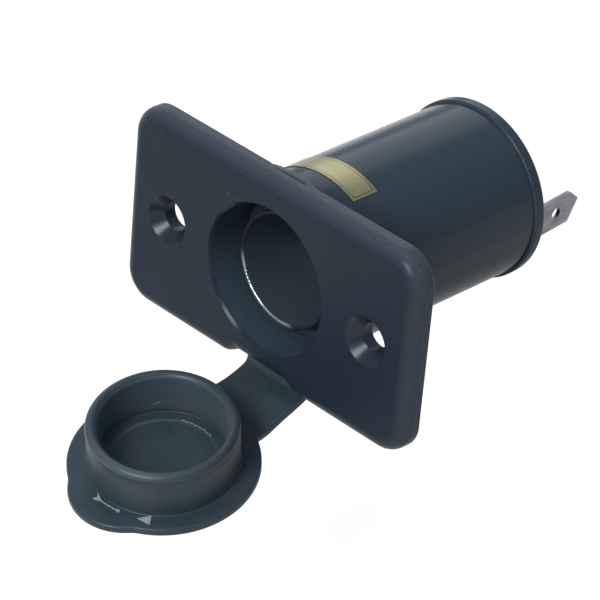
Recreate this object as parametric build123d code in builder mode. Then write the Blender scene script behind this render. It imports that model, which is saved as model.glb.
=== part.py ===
from build123d import *
from math import cos, degrees, radians, sin, sqrt
import os

# Panel-mount 12 volt power socket with a dust cap on a strap, in millimetres.
# The origin is on the socket's axis, in the back face of the plate, which seats on the panel.
# +Y runs back along the tube, +X along the plate, +Z up.

# Face plate
plate_length = 72.2
plate_height = 40.5
plate_thickness = 4.5
plate_corner_radius = 6.2
plate_edge_radius = 2.7
plate_back_radius = 0.3
screw_spacing = 50.8
screw_hole_radius = 2.75
screw_sink_radius = 4.8
screw_sink_angle = 90
notch_width = 17.5
notch_floor_width = 12.2
notch_depth = 1.7
notch_mouth_radius = 2.9
notch_floor_radius = 0.8

# Mouth of the socket, and the collar behind the plate that carries the barrel
mouth_gap = 2.75
mouth_chamfer = 0.45
mouth_depth = 9.4
collar_wall = 1.25
collar_floor = 2.6

# Tube behind the plate, and its end cap
sleeve_wall = 1.43
socket_length = 54.6
rear_lip_width = 2.3
rear_lip_height = 0.57
rear_lip_round = 0.4
rear_spigot_length = 3.5

# Plated barrel: a drawn cup with a bead that seats in the collar's floor
barrel_radius = 10.5
barrel_wall = 0.8
barrel_recess = 4.95
barrel_neck_step = 0.5
barrel_neck_length = 3.5
barrel_rim_round = 0.3
bead_height = 1.0
bead_width = 0.7
spring_count = 3
spring_width = 4.6
spring_length = 14.0
spring_slit = 0.7
spring_start = 8.0
spring_first_angle = 42

# Centre contact and the stack on its stud
stud_radius = 2.0
stud_head_radius = 4.5
stud_head_height = 2.0
stud_head_round = 1.2
stud_end = 0.7
inner_washer_margin = 0.3
washer_radius = 4.5
washer_thickness = 0.8
spring_washer_radius = 3.6
spring_washer_thickness = 1.0
spring_washer_gap = 0.8
nut_flats = 7.0
nut_height = 3.2
bush_sleeve_wall = 0.95
bush_shoulder = 2.25
bush_margin = 0.4

# Blade terminals
tab_width = 6.3
tab_thickness = 0.8
tab_tip_taper = 2.5
tab_tip_cut = 2.1
tab_low_cut = 3.9
tab_hole_radius = 1.2
tab_hole_from_tip = 6.4
ground_inset = 1.8
ground_drop = 2.55
ground_reach = 14.5
ground_lean = 4.8
ground_foot_margin = 2.24
positive_offset = 8.0
positive_reach = 11.9
positive_foot_margin = 2.6
rivet_radius = 1.25
rivet_head_radius = 1.9
rivet_head_height = 0.6
rivet_margin = 0.235

# Foil label on the tube: its distance behind the plate's front, and the arc that it covers
label_start = 13.0
label_width = 6.0
label_thickness = 0.12
label_first_angle = 63.0
label_arc = 87.0

# Soft moulding: ring round the tube, strap, disc, plug and finger tab
strap_thickness = 1.6
strap_width = 16.0
ring_width = 2.95
ring_recess = 0.9
bend_radius = 1.25
bend_below_plate = 3.13
link_straight = 4.40
cap_neck_length = 2.96
cap_tilt = 11.09
cap_roll = 5.08
disc_overlap = 3.31
disc_round = 0.45
lobe_radius = 10.4
lobe_offset = 9.1
lobe_blend = 4.0
plug_neck_step = 0.35
plug_bead_height = 6.2
plug_lead = 0.35
plug_rim_land = 0.04
plug_root_round = 0.8
cup_step_width = 1.53
cup_step_height = 0.6
arrow_circle = 14.9
arrow_length = 2.35
arrow_width = 2.4
arrow_stem_width = 0.7
arrow_stem_length = 3.2
arrow_height = 0.25
arrow_tip_angles = (96.5, 60.4)

# Clearances
sleeve_clearance = 0.1
ring_clearance = 0.12
recess_clearance = 0.85
channel_clearance = 0.5
barrel_clearance = 0.1
stud_clearance = 0.15
tab_clearance = 0.15
plug_clearance = 0.33
plug_barrel_clearance = 0.43
plug_floor_clearance = 0.46
bend_clearance = 0.15
bend_relief = 0.3

# Places along the socket's axis
front_y = -plate_thickness
recess_y = -ring_recess
mouth_floor_y = front_y + mouth_depth
collar_end_y = mouth_floor_y + collar_floor
rear_y = front_y + socket_length
sleeve_end_y = rear_y - rear_lip_width
spigot_y = sleeve_end_y - rear_spigot_length
barrel_rim_y = front_y + barrel_recess
barrel_end_y = spigot_y - bush_shoulder
barrel_floor_y = barrel_end_y - barrel_wall
barrel_neck_y = barrel_floor_y - barrel_neck_length
stud_seat_y = barrel_floor_y - washer_thickness
washer_y = rear_y + tab_thickness
spring_washer_y = washer_y + washer_thickness
nut_y = spring_washer_y + spring_washer_thickness
stud_end_y = nut_y + nut_height + stud_end

# Radii that follow from each other, from the barrel outwards
barrel_outer = barrel_radius + barrel_wall
mouth_radius = barrel_outer + mouth_gap
collar_radius = mouth_radius + collar_wall
sleeve_inner = collar_radius + sleeve_clearance
sleeve_radius = sleeve_inner + sleeve_wall
ring_inner = sleeve_radius + ring_clearance
ring_radius = ring_inner + ring_width
barrel_neck_radius = barrel_radius - barrel_neck_step
bead_radius = barrel_outer + bead_height
stud_hole_radius = stud_radius + stud_clearance
bush_radius = stud_hole_radius + bush_sleeve_wall
floor_hole_radius = bush_radius + barrel_clearance
plug_radius = mouth_radius - plug_clearance
plug_neck_radius = plug_radius - plug_neck_step
plug_inner_radius = barrel_outer + plug_barrel_clearance
plug_rim_round = (plug_radius - plug_lead - plug_inner_radius - plug_rim_land) / 2
plug_height = mouth_depth - plug_floor_clearance
disc_radius = mouth_radius + disc_overlap

# The ground tab stands just inside the tube, and its rivet just inside the barrel's neck.
ground_x = sleeve_inner - ground_inset
ground_z = -ground_drop
rivet_x = sqrt((barrel_neck_radius - rivet_head_radius - rivet_margin) ** 2 - ground_drop**2)
ground_foot_x = rivet_x - ground_foot_margin

# The strap leaves the ring downwards, bends forward round a small radius and runs straight to the cap.
slope = radians(cap_tilt)
roll = radians(cap_roll)
forward = Vector(0, -cos(slope), -sin(slope))
upward = Vector(0, -sin(slope), cos(slope))
across = Vector(1, 0, 0)
bend_drop = plate_height / 2 + bend_below_plate
bend_centre = Vector(0, recess_y - bend_radius, -bend_drop)
bend_outer = bend_radius + strap_thickness
bend_turn = 90 - cap_tilt
bend_gap_turn = degrees(bend_clearance / bend_outer)
bend_end = bend_centre - upward * bend_radius
bend_to_cap = disc_radius + cap_neck_length
cap_centre = bend_end + forward * (link_straight + bend_to_cap)
cap_across = across * cos(roll) - upward * sin(roll)
cap_axis = upward * cos(roll) + across * sin(roll)
cap_plane = Plane(origin=cap_centre, x_dir=cap_across, z_dir=cap_axis)

front = Plane(origin=(0, front_y, 0), x_dir=(1, 0, 0), z_dir=(0, -1, 0))
os.makedirs("parts", exist_ok=True)


def square_to_axis(y):
    """A plane across the socket's axis at y that faces forward, with local x along +X and y along +Z."""
    return front.offset(front_y - y)


def round_piece(radius, hole_radius, start_y, end_y):
    """A plain ring, tube or washer round the socket's axis."""
    with BuildPart() as piece:
        with BuildSketch(square_to_axis(start_y)):
            Circle(radius)
            Circle(hole_radius, mode=Mode.SUBTRACT)
        extrude(amount=start_y - end_y)
    return piece


# Face plate: the rounded plate with its lower notch, the seats for ring and strap, the collar and the mouth
half_length = plate_length / 2
half_height = plate_height / 2
notch_half = notch_width / 2
notch_floor_half = notch_floor_width / 2
with BuildPart() as face_plate:
    with BuildSketch(front) as plate_outline:
        with BuildLine():
            Polyline(
                (-half_length, half_height),
                (-half_length, -half_height),
                (-notch_half, -half_height),
                (-notch_floor_half, notch_depth - half_height),
                (notch_floor_half, notch_depth - half_height),
                (notch_half, -half_height),
                (half_length, -half_height),
                (half_length, half_height),
                close=True,
            )
        make_face()
        columns = plate_outline.vertices().group_by(Axis.X)
        fillet(columns[0] + columns[-1], plate_corner_radius)
        for mouth_x in (-notch_half, notch_half):
            fillet(plate_outline.vertices().filter_by_position(Axis.X, mouth_x, mouth_x), notch_mouth_radius)
        floor_ends = plate_outline.vertices().filter_by_position(Axis.X, -notch_floor_half, notch_floor_half)
        fillet(floor_ends, notch_floor_radius)
    extrude(amount=-plate_thickness)
    fillet(face_plate.faces().sort_by(Axis.Y)[0].edges(), plate_edge_radius)
    fillet(face_plate.faces().sort_by(Axis.Y)[-1].edges(), plate_back_radius)
    with BuildSketch(square_to_axis(0)):
        Circle(ring_radius + recess_clearance)
        with Locations((0, -half_height)):
            Rectangle(strap_width + 2 * channel_clearance, plate_height)
    extrude(amount=ring_recess, mode=Mode.SUBTRACT)
    with BuildSketch(square_to_axis(recess_y)):
        Circle(collar_radius)
    extrude(amount=recess_y - collar_end_y)
    with BuildSketch(Plane.XY):
        with BuildLine():
            Polyline(
                (0, front_y),
                (mouth_radius + mouth_chamfer, front_y),
                (mouth_radius, front_y + mouth_chamfer),
                (mouth_radius, mouth_floor_y),
                (bead_radius + barrel_clearance, mouth_floor_y),
                (bead_radius + barrel_clearance, mouth_floor_y + bead_width),
                (barrel_outer + barrel_clearance, mouth_floor_y + bead_width),
                (barrel_outer + barrel_clearance, collar_end_y),
                (0, collar_end_y),
                close=True,
            )
        make_face()
    revolve(axis=Axis.Y, mode=Mode.SUBTRACT)
    with Locations(front):
        with GridLocations(screw_spacing, 0, 2, 1):
            CounterSinkHole(screw_hole_radius, screw_sink_radius, counter_sink_angle=screw_sink_angle)
face_plate.part.label = "face_plate"
export_step(face_plate.part, "parts/face_plate.step")

# Tube
housing_sleeve = round_piece(sleeve_radius, sleeve_inner, recess_y, sleeve_end_y)
housing_sleeve.part.label = "housing_sleeve"
export_step(housing_sleeve.part, "parts/housing_sleeve.step")

# Rear end cap: a flange that shows as the tube's lip, and a spigot that centres it in the tube
with BuildPart() as rear_cap:
    with BuildSketch(square_to_axis(sleeve_end_y)):
        Circle(sleeve_radius + rear_lip_height)
    extrude(amount=-rear_lip_width)
    fillet(rear_cap.edges().filter_by(GeomType.CIRCLE), rear_lip_round)
    with BuildSketch(square_to_axis(spigot_y)):
        Circle(sleeve_inner - sleeve_clearance)
    extrude(amount=-rear_spigot_length)
    with BuildSketch(square_to_axis(spigot_y)):
        Circle(stud_hole_radius)
        with Locations((ground_x, ground_z)):
            Rectangle(tab_thickness + 2 * tab_clearance, tab_width + 2 * tab_clearance)
    extrude(amount=spigot_y - rear_y, mode=Mode.SUBTRACT)
rear_cap.part.label = "rear_cap"
export_step(rear_cap.part, "parts/rear_cap.step")

# Barrel: wall, bead, necked bottom, and spring tongues that lie flush between slits in the wall
with BuildPart() as socket_barrel:
    with BuildSketch(Plane.XY):
        with BuildLine():
            Polyline(
                (barrel_radius, barrel_rim_y),
                (barrel_outer, barrel_rim_y),
                (barrel_outer, mouth_floor_y),
                (bead_radius, mouth_floor_y),
                (bead_radius, mouth_floor_y + bead_width),
                (barrel_outer, mouth_floor_y + bead_width),
                (barrel_outer, barrel_neck_y + barrel_wall),
                (barrel_neck_radius + barrel_wall, barrel_neck_y + barrel_wall),
                (barrel_neck_radius + barrel_wall, barrel_end_y),
                (floor_hole_radius, barrel_end_y),
                (floor_hole_radius, barrel_floor_y),
                (barrel_neck_radius, barrel_floor_y),
                (barrel_neck_radius, barrel_neck_y),
                (barrel_radius, barrel_neck_y),
                close=True,
            )
        make_face()
    revolve(axis=Axis.Y)
    fillet(socket_barrel.edges().filter_by(GeomType.CIRCLE).group_by(Axis.Y)[0], barrel_rim_round)
    for spring in range(spring_count):
        turn = radians(spring_first_angle + 360 * spring / spring_count)
        outward = Vector(cos(turn), 0, sin(turn))
        slit_y = mouth_floor_y + spring_start + spring_length / 2
        slit_centre = outward * barrel_radius + Vector(0, slit_y, 0)
        with BuildSketch(Plane(origin=slit_centre, x_dir=(0, 1, 0), z_dir=outward)):
            Rectangle(spring_length, spring_width + 2 * spring_slit)
            with Locations((-spring_slit, 0)):
                Rectangle(spring_length, spring_width, mode=Mode.SUBTRACT)
        extrude(amount=2 * barrel_wall, both=True, mode=Mode.SUBTRACT)
    with BuildSketch(square_to_axis(barrel_floor_y)):
        with Locations((rivet_x, ground_z)):
            Circle(rivet_radius)
    extrude(amount=-barrel_wall, mode=Mode.SUBTRACT)
socket_barrel.part.label = "socket_barrel"
export_step(socket_barrel.part, "parts/socket_barrel.step")

# Centre contact: a domed head inside the barrel, with its stud through the barrel's floor and the end cap
with BuildPart() as contact_stud:
    with BuildSketch(square_to_axis(stud_seat_y)):
        Circle(stud_head_radius)
    extrude(amount=stud_head_height)
    fillet(contact_stud.faces().sort_by(Axis.Y)[0].edges(), stud_head_round)
    with BuildSketch(square_to_axis(stud_seat_y)):
        Circle(stud_radius)
    extrude(amount=stud_seat_y - stud_end_y)
    chamfer(contact_stud.faces().sort_by(Axis.Y)[-1].edges(), stud_end / 2)
contact_stud.part.label = "contact_stud"
export_step(contact_stud.part, "parts/contact_stud.step")

# Fibre washer under the contact's head
inner_washer_radius = stud_head_radius + inner_washer_margin
inner_washer = round_piece(inner_washer_radius, stud_hole_radius, stud_seat_y, barrel_floor_y)
inner_washer.part.label = "inner_washer"
export_step(inner_washer.part, "parts/inner_washer.step")

# Insulating bush: a sleeve through the barrel's floor, and a shoulder between the floor and the end cap
with BuildPart() as insulating_bush:
    with BuildSketch(square_to_axis(barrel_floor_y)):
        Circle(bush_radius)
    extrude(amount=-barrel_wall)
    with BuildSketch(square_to_axis(barrel_end_y)):
        Circle(ground_foot_x - bush_margin)
    extrude(amount=-bush_shoulder)
    with BuildSketch(square_to_axis(barrel_floor_y)):
        Circle(stud_hole_radius)
    extrude(amount=barrel_floor_y - spigot_y, mode=Mode.SUBTRACT)
insulating_bush.part.label = "insulating_bush"
export_step(insulating_bush.part, "parts/insulating_bush.step")

# Washers and nut on the stud, behind the end cap
plain_washer = round_piece(washer_radius, stud_hole_radius, washer_y, spring_washer_y)
plain_washer.part.label = "plain_washer"
export_step(plain_washer.part, "parts/plain_washer.step")

with BuildPart() as spring_washer:
    with BuildSketch(square_to_axis(spring_washer_y)):
        Circle(spring_washer_radius)
        Circle(stud_hole_radius, mode=Mode.SUBTRACT)
        with Locations((0, spring_washer_radius)):
            Rectangle(spring_washer_gap, 2 * spring_washer_radius, mode=Mode.SUBTRACT)
    extrude(amount=-spring_washer_thickness)
spring_washer.part.label = "spring_washer"
export_step(spring_washer.part, "parts/spring_washer.step")

with BuildPart() as stud_nut:
    with BuildSketch(square_to_axis(nut_y)):
        RegularPolygon(nut_flats / 2, 6, major_radius=False)
        Circle(stud_hole_radius, mode=Mode.SUBTRACT)
    extrude(amount=-nut_height)
stud_nut.part.label = "stud_nut"
export_step(stud_nut.part, "parts/stud_nut.step")


def blade_tab(foot_x, foot_y, eye_x, eye_radius, blade_x, blade_z, straight_end_y, reach, lean):
    """A tab bent from strip: a foot with an eye across the axis, and a blade that leans in at its end."""
    side = 1 if blade_x > foot_x else -1
    along = Vector(-side * sin(radians(lean)), cos(radians(lean)), 0)
    face = Vector(cos(radians(lean)), side * sin(radians(lean)), 0)
    exit_point = Vector(blade_x, straight_end_y, 0)
    skin = face * (side * tab_thickness / 2)
    outside_x = blade_x + side * tab_thickness / 2
    inside_x = blade_x - side * tab_thickness / 2
    tip = exit_point + along * reach
    with BuildPart() as tab:
        with BuildSketch(Plane.XY.offset(blade_z)) as section:
            with BuildLine():
                Polyline(
                    (foot_x, foot_y),
                    (outside_x, foot_y),
                    (outside_x, straight_end_y),
                    tip + skin,
                    tip - skin,
                    (inside_x, straight_end_y),
                    (inside_x, foot_y + tab_thickness),
                    (foot_x, foot_y + tab_thickness),
                    close=True,
                )
            make_face()
            fillet(section.vertices().sort_by_distance((outside_x, foot_y, 0))[0], tab_thickness)
        extrude(amount=tab_width / 2, both=True)
        with BuildSketch(Plane(origin=exit_point + Vector(0, 0, blade_z), x_dir=along, z_dir=face)):
            with BuildLine():
                Polyline(
                    (reach, tab_width / 2),
                    (reach - tab_tip_taper, tab_width / 2),
                    (reach, tab_width / 2 - tab_tip_cut),
                    close=True,
                )
            make_face()
            with BuildLine():
                Polyline(
                    (reach, -tab_width / 2),
                    (reach - tab_tip_taper, -tab_width / 2),
                    (reach, -tab_width / 2 + tab_low_cut),
                    close=True,
                )
            make_face()
            with Locations((reach - tab_hole_from_tip, 0)):
                Circle(tab_hole_radius)
        extrude(amount=tab_thickness, both=True, mode=Mode.SUBTRACT)
        with BuildSketch(square_to_axis(foot_y)):
            with Locations((eye_x, blade_z)):
                Circle(eye_radius)
        extrude(amount=-tab_thickness, mode=Mode.SUBTRACT)
    return tab


# Ground tab: riveted to the barrel's floor, it passes the end cap's slot
ground_tab = blade_tab(
    ground_foot_x, barrel_end_y, rivet_x, rivet_radius, ground_x, ground_z, rear_y, ground_reach, ground_lean
)
ground_tab.part.label = "ground_tab"
export_step(ground_tab.part, "parts/ground_tab.step")

# Positive tab: its foot lies on the end cap, clamped on the stud
positive_foot_x = stud_radius + positive_foot_margin
positive_bend_y = washer_y + tab_thickness
positive_blade = rear_y + positive_reach - positive_bend_y
positive_tab = blade_tab(
    positive_foot_x, rear_y, 0, stud_hole_radius, -positive_offset, 0, positive_bend_y, positive_blade, 0
)
positive_tab.part.label = "positive_tab"
export_step(positive_tab.part, "parts/positive_tab.step")

# Rivet through the barrel's floor and the ground tab's foot
rivet_tail_y = barrel_end_y + tab_thickness
with BuildPart() as ground_rivet:
    with BuildSketch(square_to_axis(barrel_floor_y)):
        with Locations((rivet_x, ground_z)):
            Circle(rivet_head_radius)
    extrude(amount=rivet_head_height)
    with BuildSketch(square_to_axis(barrel_floor_y)):
        with Locations((rivet_x, ground_z)):
            Circle(rivet_radius)
    extrude(amount=barrel_floor_y - rivet_tail_y)
    with BuildSketch(square_to_axis(rivet_tail_y)):
        with Locations((rivet_x, ground_z)):
            Circle(rivet_head_radius)
    extrude(amount=-rivet_head_height)
ground_rivet.part.label = "ground_rivet"
export_step(ground_rivet.part, "parts/ground_rivet.step")

# Foil label: a thin curved strip round part of the tube
label_edge = radians(label_first_angle)
label_outward = (cos(label_edge), 0, sin(label_edge))
label_plane = Plane(origin=(0, 0, 0), x_dir=label_outward, z_dir=(-sin(label_edge), 0, cos(label_edge)))
with BuildPart() as foil_label:
    with BuildSketch(label_plane):
        with Locations((sleeve_radius + label_thickness / 2, front_y + label_start + label_width / 2)):
            Rectangle(label_thickness, label_width)
    revolve(axis=Axis((0, 0, 0), (0, -1, 0)), revolution_arc=label_arc)
foil_label.part.label = "foil_label"
export_step(foil_label.part, "parts/foil_label.step")


def bend_point(radius, turn):
    """A point of the strap's bend in its side view: 0 degrees is where it leaves the ring."""
    return (bend_centre.Y + radius * cos(radians(turn)), bend_centre.Z - radius * sin(radians(turn)))


def side_view(point):
    """A point in space as it lies in the strap's side view."""
    return (point.Y, point.Z)


# The strap bends about a line on its outer skin, half way round the bend. The inside of the bend is open.
first_bend = bend_turn / 2
ring_side = first_bend - bend_gap_turn
link_side = first_bend + bend_gap_turn

# Ring and the stub of the strap that comes down from it
with BuildPart() as strap_ring:
    with BuildSketch(square_to_axis(recess_y)):
        Circle(ring_radius)
        with Locations((0, -bend_drop / 2)):
            Rectangle(strap_width, bend_drop)
        Circle(ring_inner, mode=Mode.SUBTRACT)
    extrude(amount=-strap_thickness)
    with BuildSketch(Plane.YZ):
        with BuildLine():
            ThreePointArc(
                bend_point(bend_outer, 0),
                bend_point(bend_outer, ring_side / 2),
                bend_point(bend_outer, ring_side),
            )
            Polyline(bend_point(bend_outer, ring_side), bend_point(bend_radius, 0), bend_point(bend_outer, 0))
        make_face()
    extrude(amount=strap_width / 2, both=True)
strap_ring.part.label = "strap_ring"
export_step(strap_ring.part, "parts/strap_ring.step")

# Link: the stretch of strap between its two bends
link_end = cap_centre - forward * (bend_to_cap + bend_clearance / 2)
with BuildPart() as strap_link:
    with BuildSketch(Plane.YZ):
        with BuildLine():
            ThreePointArc(
                bend_point(bend_outer, link_side),
                bend_point(bend_outer, (link_side + bend_turn) / 2),
                bend_point(bend_outer, bend_turn),
            )
            Polyline(
                bend_point(bend_outer, bend_turn),
                side_view(link_end - upward * strap_thickness),
                side_view(link_end),
                side_view(bend_end + forward * bend_relief),
                bend_point(bend_outer, link_side),
            )
        make_face()
    extrude(amount=strap_width / 2, both=True)
strap_link.part.label = "strap_link"
export_step(strap_link.part, "parts/strap_link.step")

# Cap: disc with finger tab and tongue, hollow plug with a bead, stepped floor, and raised arrows
disc_plane = cap_plane.offset(-strap_thickness)
section_plane = Plane(origin=cap_centre, x_dir=cap_across, z_dir=forward)
tongue_end = bend_to_cap - bend_clearance / 2
with BuildPart() as cap:
    with BuildSketch(disc_plane):
        Circle(disc_radius)
        with Locations((0, -lobe_offset)):
            Circle(lobe_radius)
    extrude(amount=strap_thickness)
    lobe_corners = cap.edges().filter_by(GeomType.LINE).sort_by(Axis(cap_centre, forward))[-2:]
    fillet(lobe_corners, lobe_blend)
    fillet(cap.faces().sort_by(Axis(cap_centre, cap_axis))[0].edges(), disc_round)
    fillet(cap.faces().sort_by(Axis(cap_centre, cap_axis))[-1].edges(), disc_round)
    with BuildSketch(disc_plane):
        with Locations((0, tongue_end / 2)):
            Rectangle(strap_width, tongue_end)
    extrude(amount=strap_thickness)
    with BuildSketch(section_plane) as plug_section:
        with BuildLine():
            Polyline(
                (plug_inner_radius - cup_step_width, 0),
                (plug_neck_radius + plug_root_round, 0),
                (plug_neck_radius, plug_root_round),
                (plug_neck_radius, plug_bead_height - plug_neck_step),
                (plug_radius, plug_bead_height),
                (plug_radius - plug_lead, plug_height),
                (plug_inner_radius, plug_height),
                (plug_inner_radius, cup_step_height),
                (plug_inner_radius - cup_step_width, cup_step_height),
                close=True,
            )
        make_face()
        fillet(plug_section.vertices().group_by(Axis.Y)[-1], plug_rim_round)
    revolve(axis=Axis(cap_centre, cap_axis))
    with BuildSketch(cap_plane):
        for tip_angle in arrow_tip_angles:
            base_angle = tip_angle - degrees(arrow_length / arrow_circle)
            with PolarLocations(arrow_circle, 1, start_angle=-base_angle):
                Polygon(
                    (0, -arrow_length),
                    (arrow_width / 2, 0),
                    (arrow_stem_width / 2, 0),
                    (arrow_stem_width / 2, arrow_stem_length),
                    (-arrow_stem_width / 2, arrow_stem_length),
                    (-arrow_stem_width / 2, 0),
                    (-arrow_width / 2, 0),
                    align=None,
                )
    extrude(amount=arrow_height)
cap.part.label = "cap"
export_step(cap.part, "parts/cap.step")
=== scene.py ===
# %% [markdown]
# # A 12 volt power socket with its dust cap
#
# The part is a round socket that sits in a car's panel. A plate with two screw holes carries it, a
# glossy tube goes back behind the panel, and a soft cap lies open in front on its own strap.
#
# The imported CAD model is the frame. Its rigid pieces keep their shape and get a finish here. The soft
# moulding is drawn again as smooth surfaces.

# %% Load the frame
import math

import bmesh
import bpy
import numpy as np
from mathutils import Matrix, Vector


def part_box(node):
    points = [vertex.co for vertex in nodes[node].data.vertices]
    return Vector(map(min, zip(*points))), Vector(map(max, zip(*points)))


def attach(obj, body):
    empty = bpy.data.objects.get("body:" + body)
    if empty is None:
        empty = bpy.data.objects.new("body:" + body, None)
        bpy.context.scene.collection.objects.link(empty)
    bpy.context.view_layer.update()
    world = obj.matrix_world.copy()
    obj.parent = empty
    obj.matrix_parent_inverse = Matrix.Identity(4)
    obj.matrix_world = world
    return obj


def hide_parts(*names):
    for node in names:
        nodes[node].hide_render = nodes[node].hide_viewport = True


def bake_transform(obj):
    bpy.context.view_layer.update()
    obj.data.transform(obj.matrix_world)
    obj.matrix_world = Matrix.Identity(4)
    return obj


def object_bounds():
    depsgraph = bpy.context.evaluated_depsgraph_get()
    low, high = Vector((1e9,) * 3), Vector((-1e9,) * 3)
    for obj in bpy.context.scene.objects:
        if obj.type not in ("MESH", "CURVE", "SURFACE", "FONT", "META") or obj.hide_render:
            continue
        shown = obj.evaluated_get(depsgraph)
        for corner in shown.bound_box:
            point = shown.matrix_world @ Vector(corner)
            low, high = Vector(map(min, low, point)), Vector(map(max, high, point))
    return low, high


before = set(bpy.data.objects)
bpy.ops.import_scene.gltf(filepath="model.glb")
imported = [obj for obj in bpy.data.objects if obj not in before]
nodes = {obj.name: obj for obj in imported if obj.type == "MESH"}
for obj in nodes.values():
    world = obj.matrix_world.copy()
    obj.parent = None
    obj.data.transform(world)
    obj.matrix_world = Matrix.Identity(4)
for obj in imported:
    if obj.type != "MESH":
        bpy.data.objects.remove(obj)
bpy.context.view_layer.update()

# %% [markdown]
# ## Camera
#
# The photograph was taken from the right front, well above the plate, with a long lens and the camera
# turned a little. A camera can be aimed with a constraint, but three angles written out as axes keep
# the view exactly where the photograph has it.

# %% Camera at the photograph's place
MM = 0.001
camera_place = np.array((388.78, -410.47, 346.08)) * MM
azimuth, elevation, camera_turn = np.radians((43.080, 31.884, 5.179))

level_right = np.array((math.cos(azimuth), math.sin(azimuth), 0.0))
level_ahead = np.array((-math.sin(azimuth), math.cos(azimuth), 0.0))
ahead = math.cos(elevation) * level_ahead - math.sin(elevation) * np.array((0.0, 0.0, 1.0))
level_up = np.cross(level_right, ahead)
camera_right = math.cos(camera_turn) * level_right + math.sin(camera_turn) * level_up
camera_up = np.cross(camera_right, ahead)
camera_axes = np.column_stack((camera_right, camera_up, -ahead, camera_place))

camera = bpy.data.objects.new("camera", bpy.data.cameras.new("camera"))
bpy.context.scene.collection.objects.link(camera)
camera.data.lens = 223.9
camera.data.sensor_width = 36.0
camera.data.clip_end = 20.0
camera.matrix_world = Matrix(camera_axes.tolist() + [[0, 0, 0, 1]])
bpy.context.scene.camera = camera
bpy.context.scene.view_settings.view_transform = "Standard"
print("camera looks along", np.round(ahead, 3), "with its right side", np.round(camera_right, 3))

# %% [markdown]
# ## Helpers for materials
#
# Every finish is a small tree of shader nodes. One function turns a colour picked on a screen into the
# linear light that Blender adds up, and one adds a node with its options and its links. In a Map Range
# node input 0 is the value, 1 and 2 are the range it comes from, and 3 and 4 the range it goes to. In a
# Mix node of colours inputs 6 and 7 are the two colours, and output 2 is the result.

# %% Colour and node helpers
def linear(hex_colour):
    """sRGB hex to linear light: v / 12.92 up to 0.04045, and ((v + 0.055) / 1.055) ^ 2.4 above."""
    screen = np.array([int(hex_colour[place:place + 2], 16) / 255 for place in (1, 3, 5)])
    light = np.where(screen <= 0.04045, screen / 12.92, ((screen + 0.055) / 1.055) ** 2.4)
    return (*light.tolist(), 1.0)


def add_node(tree, kind, inputs=None, **options):
    """Adds one shader node, sets its options, and gives each input a plain value or a link."""
    node = tree.nodes.new("ShaderNode" + kind)
    for option, value in options.items():
        setattr(node, option, value)
    for key, value in (inputs or {}).items():
        if isinstance(value, bpy.types.NodeSocket):
            tree.links.new(value, node.inputs[key])
        else:
            node.inputs[key].default_value = value
    return node


def two_tones(ramp, dark, light, first=0.0, last=1.0):
    """Gives a colour ramp a dark hex colour at one position and a light one at another."""
    low, high = ramp.color_ramp.elements
    low.color, high.color = linear(dark), linear(light)
    low.position, high.position = first, last


def start_material(name, **plain):
    """An empty material: its tree, its shader with the plain values given, and its place on the piece."""
    material = bpy.data.materials.new(name)
    material.use_nodes = True
    tree = material.node_tree
    tree.nodes.clear()
    values = {key.replace("_", " "): value for key, value in plain.items()}
    shader = add_node(tree, "BsdfPrincipled", values)
    add_node(tree, "OutputMaterial", {"Surface": shader.outputs["BSDF"]})
    place = add_node(tree, "TexCoord").outputs["Object"]
    return material, tree, shader, place


def connect(tree, shader, **sources):
    """Links outputs to the shader's inputs by name, with an underscore for each space."""
    for name, source in sources.items():
        tree.links.new(source, shader.inputs[name.replace("_", " ")])


def finish(material, *names):
    """Puts a material on CAD nodes by their names."""
    for name in names:
        for material_slot in nodes[name].material_slots:
            material_slot.material = material
    print(material.name, "on", ", ".join(names))


print("middle grey of a screen in linear light:", round(linear("#808080")[0], 3))


# %% [markdown]
# ## Floor and light
#
# The photograph has a white ground without an edge. The floor is a pale plane that shows as white to the
# camera and in reflections, and still takes the object's soft shadow. Under the tube the ground is shaded,
# and the polished tube mirrors that, so its reflection is drawn darker there. The light is a pale room and
# three soft lamps: a wide window behind on the left, a smaller and stronger one in front on the right that
# draws the bright edges, and a weak one above.

# %% Floor that keeps a soft shadow
hang_room = 44            # millimetres under the cap, so that it can hang straight down
floor_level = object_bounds()[0][2] - hang_room * MM
floor_half = 2.5          # metres
floor_glow = 0.84         # the lamps' light on the paper adds the rest of the white
shade_middle = (0.0, 0.085, floor_level)
shade_start, shade_end, shade_left = 0.03, 0.11, 0.35

floor_mesh = bpy.data.meshes.new("floor")
unit_square = np.array(((-1, -1, 0), (1, -1, 0), (1, 1, 0), (-1, 1, 0)))
floor_corners = unit_square * floor_half + (0, 0, floor_level)
floor_mesh.from_pydata(floor_corners.tolist(), [], [(0, 1, 2, 3)])
floor = bpy.data.objects.new("floor", floor_mesh)
bpy.context.scene.collection.objects.link(floor)

floor_paint = bpy.data.materials.new("matt white paper")
floor_paint.use_nodes = True
tree = floor_paint.node_tree
tree.nodes.clear()
rays = add_node(tree, "LightPath").outputs
seen = add_node(tree, "Math", {0: rays["Is Camera Ray"], 1: rays["Is Transmission Ray"]}, operation="MAXIMUM")
ground = add_node(tree, "TexCoord").outputs["Object"]
under_tube = add_node(tree, "VectorMath", {0: ground, 1: shade_middle}, operation="SUBTRACT")
under_tube = add_node(tree, "VectorMath", {0: under_tube.outputs[0]}, operation="LENGTH")
shaded = add_node(
    tree,
    "MapRange",
    {0: under_tube.outputs["Value"], 1: shade_start, 2: shade_end, 3: shade_left, 4: 1.0},
    interpolation_type="SMOOTHSTEP",
)
mirrored = add_node(tree, "Math", {0: rays["Is Glossy Ray"], 1: shaded.outputs[0]}, operation="MULTIPLY")
seen = add_node(tree, "Math", {0: seen.outputs[0], 1: mirrored.outputs[0]}, operation="MAXIMUM")
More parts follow.
